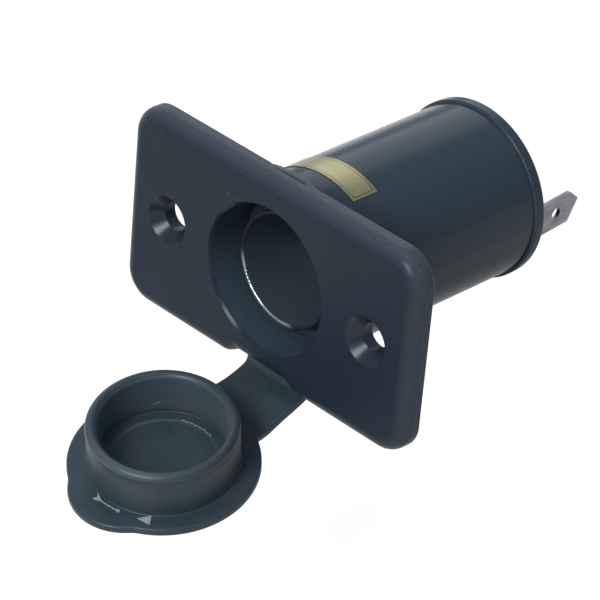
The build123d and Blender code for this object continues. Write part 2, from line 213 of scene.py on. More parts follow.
glow = add_node(tree, "Math", {0: seen.outputs[0], 1: floor_glow}, operation="MULTIPLY")
paper = add_node(tree, "BsdfDiffuse", {"Color": linear("#848484")})
lift = add_node(tree, "Emission", {"Color": linear("#ffffff"), "Strength": glow.outputs[0]})
both = add_node(tree, "AddShader", {0: paper.outputs[0], 1: lift.outputs[0]})
add_node(tree, "OutputMaterial", {"Surface": both.outputs[0]})
floor_mesh.materials.append(floor_paint)
print("floor at", round(floor_level / MM, 1), "mm")

# %% [markdown]
# Such a part is photographed in a light tent. A picture of a real room could light it too, but a plain pale
# world and three lit rectangles are easier to place by what each one does in the polished tube.

# %% Pale room and three soft lamps
room_light = 0.66
world = bpy.data.worlds.new("white room")
bpy.context.scene.world = world
world.use_nodes = True
tree = world.node_tree
tree.nodes.clear()
rays = add_node(tree, "LightPath").outputs
seen = add_node(tree, "Math", {0: rays["Is Camera Ray"], 1: rays["Is Transmission Ray"]}, operation="MAXIMUM")
room = add_node(tree, "Background", {"Color": linear("#d3e2f1"), "Strength": room_light})
backdrop = add_node(tree, "Background", {"Color": linear("#ffffff"), "Strength": 1.0})
shown = add_node(tree, "MixShader", {0: seen.outputs[0], 1: room.outputs[0], 2: backdrop.outputs[0]})
add_node(tree, "OutputWorld", {"Surface": shown.outputs[0]})

lamp_aim = Vector((0, 0, -10)) * MM


def soft_lamp(name, place, width, height, power):
    """A lit rectangle with its sides in metres, placed in millimetres and turned to the object."""
    lamp = bpy.data.objects.new(name, bpy.data.lights.new(name, "AREA"))
    lamp.data.shape = "RECTANGLE"
    lamp.data.size, lamp.data.size_y = width, height
    lamp.data.energy = power
    place = Vector(place) * MM
    turned = (lamp_aim - place).to_track_quat("-Z", "Y").to_matrix().to_4x4()
    lamp.matrix_world = Matrix.Translation(place) @ turned
    bpy.context.scene.collection.objects.link(lamp)


soft_lamp("lamp_window", (-480, 380, 350), width=1.0, height=0.42, power=1.6)
soft_lamp("lamp_front", (110, -560, 360), width=0.24, height=0.28, power=4.6)
soft_lamp("lamp_above", (40, -60, 680), width=0.40, height=0.40, power=0.8)

# %% [markdown]
# ## Face plate
#
# The plate is moulded ABS from a spark-eroded tool, so its face has a fine even grain and a satin shine.
# The countersinks and the mouth are turned smooth in the tool and look glossy. The edges are painted paler,
# partly as wear from use and partly as painted highlight, and the mouth's bore is painted lighter as fill
# light in its shade. A few pale specks near the top are dust and painted glints of the grain. A picture of
# grain could be wrapped on, but noise in the plate's own millimetres gives the same grain on every face.
# First comes where it is smooth, measured from the axes of the screws and of the mouth.

# %% Where the plate is smooth
screw_place = 25.4        # millimetres from the middle to each screw
sink_radius = 4.85
mouth_radius = 14.55      # where the mouth's small chamfer starts
finish_edge = 0.05        # half the width over which one finish changes to another

# Satin black with broad soft highlights, and a thin polish in the countersinks
abs_plate, tree, shader, place = start_material(
    "moulded ABS, spark-eroded grain", IOR=1.53, Specular_IOR_Level=0.09, Coat_Roughness=0.3
)
axes = add_node(tree, "SeparateXYZ", {0: place})
side = add_node(tree, "Math", {0: axes.outputs[0]}, operation="ABSOLUTE")
side = add_node(tree, "Math", {0: side.outputs[0], 1: screw_place * MM}, operation="SUBTRACT")
from_screw = add_node(tree, "CombineXYZ", {0: side.outputs[0], 2: axes.outputs[2]})
from_screw = add_node(tree, "VectorMath", {0: from_screw.outputs[0]}, operation="LENGTH")
from_axis = add_node(tree, "CombineXYZ", {0: axes.outputs[0], 2: axes.outputs[2]})
from_axis = add_node(tree, "VectorMath", {0: from_axis.outputs[0]}, operation="LENGTH")
sink_edge = {1: (sink_radius - finish_edge) * MM, 2: (sink_radius + finish_edge) * MM}
mouth_edge = {1: (mouth_radius - finish_edge) * MM, 2: (mouth_radius + finish_edge) * MM}
grain_at_screw = add_node(tree, "MapRange", {0: from_screw.outputs["Value"], **sink_edge})
grain_at_mouth = add_node(tree, "MapRange", {0: from_axis.outputs["Value"], **mouth_edge})
grained = add_node(
    tree, "Math", {0: grain_at_screw.outputs[0], 1: grain_at_mouth.outputs[0]}, operation="MULTIPLY"
)
print("smooth within", sink_radius, "mm of a screw and", mouth_radius, "mm of the axis")

# %% [markdown]
# The grain is fine noise, and a slow noise under it moves the black a little, as in any moulded plastic.
# Dust and painted glints of the grain could be modelled speck by speck, but cells of noise that light up
# only in patches look the same and need no mesh. The specks grow denser towards the top as painted light,
# and the bore behind the chamfer is painted lighter as fill light in its shade.

# %% Grain, clouds, dust with painted glints, and a painted lighter bore
plate_grain = 0.30        # millimetres across one grain; the real one is near 0.1 and wouldn't show
cloud_size, speck_size, patch_size = 14, 1.9, 6        # millimetres
lit_speck_low, lit_speck_high = 4, 17        # dust and painted glints grow denser from one height to the other, in millimetres
chamfer_end, bore_start = -4.1, -3.8        # behind the chamfer the mouth is a plain bore, painted lighter as fill light

grain = add_node(
    tree, "TexNoise", {"Vector": place, "Scale": 1 / (plate_grain * MM), "Detail": 2.0, "Roughness": 0.6}
)
cloud = add_node(tree, "TexNoise", {"Vector": place, "Scale": 1 / (cloud_size * MM), "Detail": 3.0})
tone = add_node(tree, "ValToRGB", {0: cloud.outputs["Fac"]})
two_tones(tone, "#1a242d", "#202a33")
speck = add_node(tree, "TexVoronoi", {"Vector": place, "Scale": 1 / (speck_size * MM)})
speck = add_node(tree, "MapRange", {0: speck.outputs["Distance"], 1: 0.10, 2: 0.04})
patchy = add_node(tree, "TexNoise", {"Vector": place, "Scale": 1 / (patch_size * MM), "Detail": 1.0})
patchy = add_node(tree, "MapRange", {0: patchy.outputs["Fac"], 1: 0.55, 2: 0.66})
# Painted glints with dust: the specks thicken towards the top, where the light falls
near_top = add_node(
    tree, "MapRange", {0: axes.outputs[2], 1: lit_speck_low * MM, 2: lit_speck_high * MM, 3: 0.15, 4: 1.0}
)
dust = add_node(tree, "Math", {0: speck.outputs[0], 1: patchy.outputs[0]}, operation="MULTIPLY")
dust = add_node(tree, "Math", {0: dust.outputs[0], 1: near_top.outputs[0]}, operation="MULTIPLY")
# Painted fill light: behind the chamfer the bore gets a lighter tone than the face
outside = add_node(
    tree, "MapRange", {0: axes.outputs[1], 1: chamfer_end * MM, 2: bore_start * MM, 3: 1.0, 4: 0.0}
)
outside = add_node(tree, "Math", {0: outside.outputs[0], 1: grain_at_mouth.outputs[0]}, operation="MAXIMUM")
tone = add_node(
    tree, "Mix", {"Factor": outside.outputs[0], 6: linear("#33404a"), 7: tone.outputs[0]}, data_type="RGBA"
)
tone = add_node(
    tree, "Mix", {"Factor": dust.outputs[0], 6: tone.outputs[2], 7: linear("#76808a")}, data_type="RGBA"
)
print("grain of", plate_grain, "mm, specks", speck_size, "mm apart")

# %% [markdown]
# Hands rub the plate's edge, and the band along it is painted paler still as a painted highlight. A mask
# painted by hand would show that, but the distance from the middles of the round corners gives a band that
# follows the outline by itself. The same masks set the shine: rough on the grain, smoother at the edge and
# in the countersinks, and smoothest in the mouth.

# %% Rubbed edges with a painted highlight, shine and bump
plate_half = (36.1, 20.25)
plate_corner, worn_lit_width = 6.2, 2.5        # the corners' radius, and how far in the edge is rubbed and painted paler as highlight
corner_middle = ((plate_half[0] - plate_corner) * MM, 0.0, (plate_half[1] - plate_corner) * MM)
grain_rough, sink_rough, mouth_rough, edge_rough = 0.37, 0.25, 0.20, 0.27
sink_polish = 0.22

# How far a point lies outside the middles of the round corners, seen from the front
rim = add_node(tree, "VectorMath", {0: place}, operation="ABSOLUTE")
rim = add_node(tree, "VectorMath", {0: rim.outputs[0], 1: corner_middle}, operation="SUBTRACT")
rim = add_node(tree, "VectorMath", {0: rim.outputs[0], 1: (0.0, 0.0, 0.0)}, operation="MAXIMUM")
rim = add_node(tree, "VectorMath", {0: rim.outputs[0], 1: (1.0, 0.0, 1.0)}, operation="MULTIPLY")
rim = add_node(tree, "VectorMath", {0: rim.outputs[0]}, operation="LENGTH")
# Wear and painted highlight: the paler band at the edge stands in partly for light on the rounded edge
worn_and_lit = add_node(
    tree, "MapRange", {0: rim.outputs["Value"], 1: (plate_corner - worn_lit_width) * MM, 2: plate_corner * MM}
)
rubbed_and_lit = add_node(tree, "MapRange", {0: grain.outputs["Fac"], 1: 0.3, 2: 0.7, 3: 0.35, 4: 1.0})
rubbed_and_lit = add_node(tree, "Math", {0: rubbed_and_lit.outputs[0], 1: worn_and_lit.outputs[0]}, operation="MULTIPLY")
tone = add_node(
    tree, "Mix", {"Factor": rubbed_and_lit.outputs[0], 6: tone.outputs[2], 7: linear("#40484f")}, data_type="RGBA"
)
sink_shine = add_node(tree, "MapRange", {0: grain_at_screw.outputs[0], 3: sink_rough, 4: grain_rough})
mouth_shine = add_node(tree, "MapRange", {0: grain_at_mouth.outputs[0], 3: mouth_rough, 4: grain_rough})
edge_shine = add_node(tree, "MapRange", {0: worn_and_lit.outputs[0], 3: grain_rough, 4: edge_rough})
shine = add_node(tree, "Math", {0: sink_shine.outputs[0], 1: mouth_shine.outputs[0]}, operation="MINIMUM")
shine = add_node(tree, "Math", {0: shine.outputs[0], 1: edge_shine.outputs[0]}, operation="MINIMUM")
height = add_node(tree, "Math", {0: grain.outputs["Fac"], 1: grained.outputs[0]}, operation="MULTIPLY")
bump = add_node(tree, "Bump", {"Height": height.outputs[0], "Strength": 0.35, "Distance": 0.05 * MM})
polish = add_node(tree, "MapRange", {0: grain_at_screw.outputs[0], 3: sink_polish, 4: 0.0})
connect(tree, shader, Base_Color=tone.outputs[2], Roughness=shine.outputs[0], Normal=bump.outputs[0])
connect(tree, shader, Coat_Weight=polish.outputs[0])
finish(abs_plate, "face_plate")

# %% [markdown]
# ## Tube and end cap
#
# The tube is moulded in a polished tool. It is nearly black and glossy, so most of what the eye sees is
# the pale room in it. A very shallow, long waviness along the tube breaks the reflections up as on any
# thin moulding. It could be put into the mesh, but it is only some hundredths of a millimetre deep, so a
# bump is enough.

# %% Glossy tube plastic
wave_length = 9.0         # millimetres between soft waves round the tube
along_tube = (1.0, 0.22, 1.0)        # the waves are drawn out along the tube
haze_size = 1.6           # millimetres between patches of haze

# Deep gloss with slightly uneven reflections
tube_plastic, tree, shader, place = start_material(
    "polished moulded phenolic", IOR=1.55, Specular_IOR_Level=0.11
)
stretch = add_node(tree, "Mapping", {"Vector": place, "Scale": along_tube})
wave = add_node(
    tree, "TexNoise", {"Vector": stretch.outputs[0], "Scale": 1 / (wave_length * MM), "Detail": 1.0}
)
haze = add_node(
    tree, "TexNoise", {"Vector": place, "Scale": 1 / (haze_size * MM), "Detail": 4.0, "Roughness": 0.7}
)
tone = add_node(tree, "ValToRGB", {0: wave.outputs["Fac"]})
two_tones(tone, "#2a353d", "#303b43")
shine = add_node(tree, "MapRange", {0: haze.outputs["Fac"], 1: 0.3, 2: 0.8, 3: 0.13, 4: 0.24})
bump = add_node(tree, "Bump", {"Height": wave.outputs["Fac"], "Strength": 0.12, "Distance": 0.3 * MM})
connect(tree, shader, Base_Color=tone.outputs[0], Roughness=shine.outputs[0], Normal=bump.outputs[0])
finish(tube_plastic, "housing_sleeve", "rear_cap")

# %% [markdown]
# ## Metal pieces
#
# The blades are tinned brass, grey with soft rolled streaks. The stud and the rivet are bare brass, and the
# nut and washers are zinc plated. Each could be drawn by itself, but rolled, turned and plated metal differ
# only in colour, shine and the size and direction of their streaks, so one function makes all three.

# %% Tinned, brass and zinc finishes
def metal_finish(name, tones, rough, streak, stretch_by):
    """A metal: noise stretched along one direction changes its colour and roughness, with a slight bump."""
    material, tree, shader, place = start_material(name, Metallic=1.0)
    stretch = add_node(tree, "Mapping", {"Vector": place, "Scale": stretch_by})
    streaks = add_node(
        tree,
        "TexNoise",
        {"Vector": stretch.outputs[0], "Scale": 1 / (streak * MM), "Detail": 4.0, "Roughness": 0.6},
    ).outputs["Fac"]
    tone = add_node(tree, "ValToRGB", {0: streaks})
    two_tones(tone, *tones, 0.3, 0.7)
    shine = add_node(tree, "MapRange", {0: streaks, 1: 0.3, 2: 0.7, 3: rough[1], 4: rough[0]})
    bump = add_node(tree, "Bump", {"Height": streaks, "Strength": 0.15, "Distance": 0.04 * MM})
    connect(tree, shader, Base_Color=tone.outputs[0], Roughness=shine.outputs[0], Normal=bump.outputs[0])
    return material


# Soft grey strip, warm bright brass, and cool even zinc; streaks in millimetres
tinned_blade = metal_finish("tinned brass strip", ("#6c6c70", "#87878b"), (0.34, 0.5), 1.2, (1.0, 0.2, 1.0))
bare_brass = metal_finish("bright brass", ("#a8853f", "#cdb069"), (0.22, 0.38), 1.0, (1.0, 3.0, 1.0))
zinc_plate = metal_finish("zinc plated steel", ("#8f9498", "#bcc1c4"), (0.25, 0.42), 0.8, (1.0, 1.0, 1.0))
finish(tinned_blade, "ground_tab", "positive_tab")
finish(bare_brass, "contact_stud", "ground_rivet")
finish(zinc_plate, "plain_washer", "spring_washer", "stud_nut")

# %% [markdown]
# ## Barrel
#
# The barrel is drawn from steel sheet and nickel plated. Drawing leaves fine rings, and the inside is dull
# with age, so it throws back a soft grey light. The rolled rim is painted dark as shade, and painted bright
# on one side as a glint, where plugs also rub it; there it shows as a white arc. Separate materials could do
# that, but masks by place let dark, bright and dull run into each other softly.

# %% Nickel with a dull inside, and a rim with painted shade and a painted glint
rim_place = 0.45          # millimetres behind the plate's back face
rim_end, inside_start = 0.30, 0.45        # millimetres behind the rim's front
ring_spacing = 0.15       # millimetres between drawing rings
round_barrel = (0.04, 1.0, 0.04)          # the rings are drawn out round the barrel
glint_way = (-0.559, 0.0, -0.829)        # from the axis to the side of the rim with the painted glint, where plugs rub
glint_from, glint_to = 6.3, 9.3         # millimetres that way

# Grey satin metal with one painted bright arc
nickel_barrel, tree, shader, place = start_material("nickel plated drawn steel", Specular_IOR_Level=0.15)
axes = add_node(tree, "SeparateXYZ", {0: place})
inside = add_node(
    tree, "MapRange", {0: axes.outputs[1], 1: (rim_place + rim_end) * MM, 2: (rim_place + inside_start) * MM}
)
stretch = add_node(tree, "Mapping", {"Vector": place, "Scale": round_barrel})
rings = add_node(
    tree, "TexNoise", {"Vector": stretch.outputs[0], "Scale": 1 / (ring_spacing * MM), "Detail": 3.0}
)
tone = add_node(tree, "ValToRGB", {0: rings.outputs["Fac"]})
two_tones(tone, "#54636e", "#5f6e79")
# Painted glint and painted shade: bright metal on one side of the rim, a dark tone elsewhere
rubbed_and_lit = add_node(tree, "VectorMath", {0: place, 1: glint_way}, operation="DOT_PRODUCT")
rubbed_and_lit = add_node(
    tree,
    "MapRange",
    {0: rubbed_and_lit.outputs["Value"], 1: glint_from * MM, 2: glint_to * MM},
    interpolation_type="SMOOTHSTEP",
)
rim_tone = add_node(
    tree, "Mix", {"Factor": rubbed_and_lit.outputs[0], 6: linear("#161d23"), 7: linear("#9aa1a6")}, data_type="RGBA"
)
rim_plating = add_node(tree, "MapRange", {0: rubbed_and_lit.outputs[0], 3: 0.0, 4: 0.85})
rim_shine = add_node(tree, "MapRange", {0: rubbed_and_lit.outputs[0], 3: 0.55, 4: 0.16})
tone = add_node(
    tree, "Mix", {"Factor": inside.outputs[0], 6: rim_tone.outputs[2], 7: tone.outputs[0]}, data_type="RGBA"
)
plating = add_node(tree, "MapRange", {0: inside.outputs[0], 3: rim_plating.outputs[0], 4: 0.65})
shine = add_node(tree, "MapRange", {0: inside.outputs[0], 3: rim_shine.outputs[0], 4: 0.3})
bump = add_node(tree, "Bump", {"Height": rings.outputs["Fac"], "Strength": 0.1, "Distance": 0.03 * MM})
connect(tree, shader, Base_Color=tone.outputs[2], Metallic=plating.outputs[0])
connect(tree, shader, Roughness=shine.outputs[0], Normal=bump.outputs[0])
finish(nickel_barrel, "socket_barrel")

# %% [markdown]
# ## Insulators
#
# The bush is nylon and the washer under the stud's head is vulcanised fibre. A picture of fibres could be
# wrapped on, but both are hidden deep in the socket, so a soft mottled colour is enough.

# %% Nylon and fibre
def insulator_finish(name, tones, rough, mottle):
    """A dull insulator: noise of one size in millimetres moves between two colours, with a slight bump."""
    material, tree, shader, place = start_material(name, Roughness=rough, IOR=1.53)
    spots = add_node(
        tree, "TexNoise", {"Vector": place, "Scale": 1 / (mottle * MM), "Detail": 4.0, "Roughness": 0.65}
    ).outputs["Fac"]
    tone = add_node(tree, "ValToRGB", {0: spots})
    two_tones(tone, *tones)
    bump = add_node(tree, "Bump", {"Height": spots, "Strength": 0.2, "Distance": 0.05 * MM})
    connect(tree, shader, Base_Color=tone.outputs[0], Normal=bump.outputs[0])
    return material


# Milky white, and a dry red brown
nylon = insulator_finish("natural nylon", ("#cfc9b8", "#e2ddcf"), 0.45, 0.8)
red_fibre = insulator_finish("vulcanised red fibre", ("#6d2f25", "#8b4335"), 0.7, 0.35)
finish(nylon, "insulating_bush")
finish(red_fibre, "inner_washer")

# %% [markdown]
# ## Foil label
#
# A strip of gold foil is stuck round the tube. The foil is a metal with a soft crushed grain, and a thin
# darker line runs inside its border. The field stays bare. A drawn picture could carry the line, but it is
# sharper when it is worked out: how far a point is from the label's edge is measured along the tube and
# round it, and the smaller of the two places the line.

# %% Gold foil with a border line
label_low, label_high = (np.array(corner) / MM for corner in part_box("foil_label"))
label_middle = float(label_low[1] + label_high[1]) / 2
label_half = float(label_high[1] - label_low[1]) / 2
label_radius = 16.95
label_first, label_last = math.radians(63.0), math.radians(150.0)
border = 0.55             # millimetres from the label's edge to its line
line_width = 0.22
line_tone = 0.45          # how much of the foil's colour the line leaves
crush_size = 0.5          # millimetres across the crushed grain

# Dull gold that glitters a little
gold_foil, tree, shader, place = start_material("embossed gold foil", Metallic=1.0)
axes = add_node(tree, "SeparateXYZ", {0: place})
along = add_node(tree, "Math", {0: axes.outputs[1], 1: label_middle * MM}, operation="SUBTRACT")
along = add_node(tree, "Math", {0: along.outputs[0]}, operation="ABSOLUTE")
along = add_node(tree, "Math", {0: label_half * MM, 1: along.outputs[0]}, operation="SUBTRACT")
angle = add_node(tree, "Math", {0: axes.outputs[2], 1: axes.outputs[0]}, operation="ARCTAN2")
angle = add_node(tree, "Math", {0: angle.outputs[0], 1: (label_first + label_last) / 2}, operation="SUBTRACT")
angle = add_node(tree, "Math", {0: angle.outputs[0]}, operation="ABSOLUTE")
around = add_node(
    tree, "Math", {0: (label_last - label_first) / 2, 1: angle.outputs[0]}, operation="SUBTRACT"
)
around = add_node(tree, "Math", {0: around.outputs[0], 1: label_radius * MM}, operation="MULTIPLY")
from_edge = add_node(tree, "Math", {0: along.outputs[0], 1: around.outputs[0]}, operation="MINIMUM")
on_line = add_node(
    tree, "Math", {0: from_edge.outputs[0], 1: border * MM, 2: line_width / 2 * MM}, operation="COMPARE"
)
crush = add_node(
    tree, "TexNoise", {"Vector": place, "Scale": 1 / (crush_size * MM), "Detail": 3.0, "Roughness": 0.6}
)
tone = add_node(tree, "ValToRGB", {0: crush.outputs["Fac"]})
two_tones(tone, "#8b8564", "#a8a07b")
ink = add_node(tree, "MapRange", {0: on_line.outputs[0], 3: 1.0, 4: line_tone})
gold = add_node(tree, "VectorMath", {0: tone.outputs[0], "Scale": ink.outputs[0]}, operation="SCALE")
shine = add_node(tree, "MapRange", {0: crush.outputs["Fac"], 3: 0.26, 4: 0.42})
bump = add_node(tree, "Bump", {"Height": crush.outputs["Fac"], "Strength": 0.3, "Distance": 0.05 * MM})
connect(tree, shader, Base_Color=gold.outputs[0], Roughness=shine.outputs[0], Normal=bump.outputs[0])
finish(gold_foil, "foil_label")

# %% [markdown]
# ## Soft moulding: its material
#
# Ring, strap and cap are one piece of soft PVC on the real object. Soft PVC is dull black with a waxy
# sheen, and a little pale dust stays on it. It is softer to the eye than the plate: no grain, but broad
# highlights. Where a mesh has a number called dust_and_painted_light on its points, the colour turns paler:
# that is dust, painted fill light and painted highlights. A second material could do that too, but it would
# end in a hard line.

# %% Soft PVC
cloud_size, speck_size, fine_size = 6, 3.2, 0.45        # millimetres

# Waxy black with broad highlights
soft_pvc, tree, shader, place = start_material(
    "soft moulded PVC", IOR=1.52, Specular_IOR_Level=0.24, Sheen_Weight=0.05, Sheen_Roughness=0.5
)
cloud = add_node(
    tree, "TexNoise", {"Vector": place, "Scale": 1 / (cloud_size * MM), "Detail": 4.0, "Roughness": 0.6}
)
speck = add_node(tree, "TexVoronoi", {"Vector": place, "Scale": 1 / (speck_size * MM)})
fine = add_node(tree, "TexNoise", {"Vector": place, "Scale": 1 / (fine_size * MM), "Detail": 2.0})
dust = add_node(tree, "MapRange", {0: speck.outputs["Distance"], 1: 0.045, 2: 0.03})
tone = add_node(tree, "ValToRGB", {0: cloud.outputs["Fac"]})
two_tones(tone, "#243037", "#2a363d", 0.3, 0.7)
# Dust and painted light: the mesh's number makes the colour paler
pale = add_node(tree, "Attribute", attribute_name="dust_and_painted_light")
tone = add_node(
    tree, "Mix", {"Factor": pale.outputs["Fac"], 6: tone.outputs[0], 7: linear("#38444c")}, data_type="RGBA"
)
tone = add_node(
    tree, "Mix", {"Factor": dust.outputs[0], 6: tone.outputs[2], 7: linear("#5d6468")}, data_type="RGBA"
)
shine = add_node(tree, "MapRange", {0: cloud.outputs["Fac"], 1: 0.3, 2: 0.7, 3: 0.32, 4: 0.42})
bump = add_node(tree, "Bump", {"Height": fine.outputs["Fac"], "Strength": 0.12, "Distance": 0.05 * MM})
connect(tree, shader, Base_Color=tone.outputs[2], Roughness=shine.outputs[0], Normal=bump.outputs[0])
print(soft_pvc.name, "made")

# %% [markdown]
# ## Surfaces on grids
#
# Each new piece is a grid of points worked out with numpy. Blender's own tools could build them too, but a
# formula can be read, changed and fitted to the CAD model's sizes. One function turns a grid into a mesh:
# it joins neighbours to faces, closes the seams, and turns the faces outwards.

# %% From a grid of points to a piece
merge_distance, sliver_length = 0.002, 0.001        # millimetres


def grid_faces(rows, columns):
    """Quads between neighbouring rows and columns of a grid whose last column joins the first."""
    row = np.arange(rows - 1)[:, None] * columns
    column = np.arange(columns)[None, :]
    next_column = (column + 1) % columns
    corners = (row + column, row + next_column, row + columns + next_column, row + columns + column)
    return np.stack(corners, axis=-1).reshape(-1, 4)


def surface_piece(name, points, material, sharp=50):
    """A piece from a grid of points in millimetres: doubles merged, faces turned outwards, and edges over
    an angle in degrees kept sharp."""
    rows, columns = points.shape[:2]
    mesh = bpy.data.meshes.new(name)
    mesh.from_pydata((points.reshape(-1, 3) * MM).tolist(), [], grid_faces(rows, columns).tolist())
    shape = bmesh.new()
    shape.from_mesh(mesh)
    bmesh.ops.remove_doubles(shape, verts=shape.verts, dist=merge_distance * MM)
    bmesh.ops.dissolve_degenerate(shape, edges=shape.edges, dist=sliver_length * MM)
    bmesh.ops.recalc_face_normals(shape, faces=shape.faces)
    open_edges = sum(not edge.is_manifold for edge in shape.edges)
    shape.to_mesh(mesh)
    shape.free()
    mesh.shade_smooth()
    mesh.set_sharp_from_angle(angle=math.radians(sharp))
    mesh.materials.append(material)
    piece = bpy.data.objects.new(name, mesh)
    bpy.context.scene.collection.objects.link(piece)
    print(name, len(mesh.polygons), "faces,", open_edges, "open edges")
    return piece


print("a grid of 3 rows of 4 points has", len(grid_faces(3, 4)), "faces")


# %% [markdown]
# ## Nut on the stud
#
# A turned hexagon nut has its corners chamfered at both ends, and the chamfer cuts the flats in shallow
# curves. Cutting a hexagon with a cone would give that. Here the nut's outside is written as the smaller of
# the two at each angle, which is the same cut in one line.

# %% Chamfered hexagon nut
nut_low, nut_high = (np.array(corner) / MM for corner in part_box("stud_nut"))
nut_flat = (nut_high[2] - nut_low[2]) / 2          # from the axis to a flat
nut_middle = (nut_high[1] - nut_low[1]) / 2        # from an end to the middle
nut_hole, hole_chamfer = 2.15, 0.3
cone_start = 0.97 * nut_flat
cone_slope = math.tan(math.radians(60))
nut_turn = np.linspace(0, 2 * np.pi, 144, endpoint=False)
# Rows lie close together over the chamfer
from_end = np.concatenate((np.linspace(0, 0.6, 9), np.linspace(0.8, nut_middle, 4)))


def nut_outside(depth):
    """Radius of the nut at a depth from its nearer end: the smaller of the hexagon, flat / cos(angle from
    the flat's middle), and of a cone that starts just inside the flats and opens by 60 degrees."""
    hexagon = nut_flat / np.cos(np.mod(nut_turn, np.pi / 3) - np.pi / 6)
    return np.minimum(hexagon, cone_start + cone_slope * depth[:, None])


def nut_rows(radius, place):
    """Rows of points round the axis at given radii and places along it."""
    radius = np.broadcast_to(radius, (len(place), len(nut_turn)))
    place = np.broadcast_to(place[:, None], radius.shape)
    return np.stack((radius * np.cos(nut_turn), place, radius * np.sin(nut_turn)), axis=-1)


nut_side = nut_outside(np.concatenate((from_end, from_end[-2::-1])))
side_place = np.concatenate((nut_low[1] + from_end, nut_high[1] - from_end[-2::-1]))
hole_radius = np.array((nut_hole + hole_chamfer, nut_hole, nut_hole, nut_hole + hole_chamfer))[:, None]
hole_place = np.array((nut_high[1], nut_high[1] - hole_chamfer, nut_low[1] + hole_chamfer, nut_low[1]))
nut_points = np.concatenate((nut_rows(nut_side, side_place), nut_rows(hole_radius, hole_place)))
nut_points = np.concatenate((nut_points, nut_points[:1]))
nut_piece = surface_piece("chamfered_nut", nut_points, zinc_plate, sharp=25)
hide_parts("stud_nut")
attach(nut_piece, "socket")

# %% [markdown]
# ## Where the strap runs
#
# The strap lies in the disc's plane at the cap, lifts a little towards the plate, and turns up behind it.
# A curve drawn by hand could carry it, but a top line written as a height over the disc's plane meets the
# disc exactly and serves both lengths of the strap.

# %% Strap directions and the line that the strap follows
strap_thickness = 1.6
cap_tilt, cap_roll, strap_turn = np.radians((11.09, 5.08, 1.8))
across = np.array((1.0, 0.0, 0.0))
forward = np.array((0.0, -math.cos(cap_tilt), -math.sin(cap_tilt)))
upward = np.array((0.0, -math.sin(cap_tilt), math.cos(cap_tilt)))
strap_start = np.array((0.0, -1.91, -24.607))    # a point of the disc's plane under the plate
disc_edge, disc_middle = 7.4, 24.72              # millimetres from there to the disc's edge and middle
cap_centre = strap_start + forward * disc_middle
lift_square, lift_cube = 0.0545, 0.00332
bend_at, bend_radius = -1.45, 1.3                # where the bend behind the plate ends, and its radius
strap_seam = 1.2                                 # where the strap's two lengths meet


def smooth(share):
    """A soft step from 0 to 1: 3 t^2 - 2 t^3, with t kept between 0 and 1."""
    share = np.clip(share, 0, 1)
    return share * share * (3 - 2 * share)


def strap_top(at):
    """Points and normals of the strap's top line: the disc's plane, lifted before the disc's edge by
    0.0545 t^2 - 0.00332 t^3 at t millimetres from the edge."""
    free = np.maximum(disc_edge - at, 0)
    lift = lift_square * free**2 - lift_cube * free**3
    slope = -(2 * lift_square * free - 3 * lift_cube * free**2)
    points = strap_start + forward * at[:, None] + upward * lift[:, None]
    normals = (upward - forward * slope[:, None]) / np.sqrt(1 + slope**2)[:, None]
    return points, normals


bend_point, bend_normal = (value[0] for value in strap_top(np.array([bend_at])))
bend_centre = bend_point + bend_normal * bend_radius
ring_front = bend_centre[1] + bend_radius
print("ring's front face at y =", round(ring_front, 2), "mm")

# %% [markdown]
# ## Ring round the tube
#
# The strap starts as a flat ring that sits round the tube behind the plate. The strap pulls its foot back,
# so the ring leans: its top lies in the plate's recess, and a narrow slit opens towards the foot. Blender's
# torus has a round section, so the ring is written out: a small rounded rectangle turned round the tube,
# with each point shifted along the tube by its height.

# %% Strap ring
ring_inner, ring_outer = 16.95, 20.1
ring_seat = -0.45         # the ring's front at its top, in the plate's recess
stub_start = 17.6         # where the strap leaves the ring, below the axis
edge_round = 0.42


def rounded_section(low, high, half_width, corner, steps=7):
    """A rounded rectangle as (across, up) points: four quarter circles about the corner centres, joined by
    straight sides."""
    turn = np.linspace(0, np.pi / 2, steps)[None, :] + np.arange(4)[:, None] * np.pi / 2
    side = np.array((1, -1, -1, 1))[:, None] * (half_width - corner)
    level = np.array((high - corner, high - corner, low + corner, low + corner))[:, None]
    return np.stack((side + corner * np.cos(turn), level + corner * np.sin(turn)), axis=-1).reshape(-1, 2)


ring_half = (ring_outer - ring_inner) / 2
ring_section = rounded_section(ring_front, ring_front + strap_thickness, ring_half, edge_round)
ring_angle = np.linspace(0, 2 * np.pi, 160, endpoint=False)
ring_radius = ((ring_inner + ring_outer) / 2 + ring_section[:, 0])[:, None]
ring_height = ring_radius * np.sin(ring_angle)
ring_lean = (ring_seat - ring_front) / (ring_outer + stub_start)
ring_place = ring_section[:, 1][:, None] + ring_lean * (ring_height + stub_start)
ring_points = np.stack((ring_radius * np.cos(ring_angle), ring_place, ring_height), axis=-1)
ring_points = np.concatenate((ring_points, ring_points[:1]))
ring_piece = surface_piece("soft_ring", ring_points, soft_pvc)
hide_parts("strap_ring")
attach(ring_piece, "socket")

# %% [markdown]
# ## Strap
#
# The strap comes down from the ring behind the plate, bends forwards under it, and runs to the cap. It is
# one rounded section carried along that line. A bevelled curve could do it, but here each row can also
# twist and swell. The strap bends in two places, and a piece can follow only one joint, so it is made in two
# lengths that meet between the bends with the same section.

# %% Section carried along a line
strap_half = 7.7
lid_half = strap_half - 0.8        # each end closes on a line this far to either side
strap_middle = -strap_thickness / 2
strap_section = rounded_section(-strap_thickness, 0.0, strap_half, edge_round)


def turned_on_tube(points, angle):
    """Points turned about the tube's axis by an angle each row: x cos - z sin, and x sin + z cos."""
    x, y, z = np.moveaxis(points, -1, 0)
    cosine, sine = np.cos(angle)[:, None], np.sin(angle)[:, None]
    return np.stack((x * cosine - z * sine, y, x * sine + z * cosine), axis=-1)


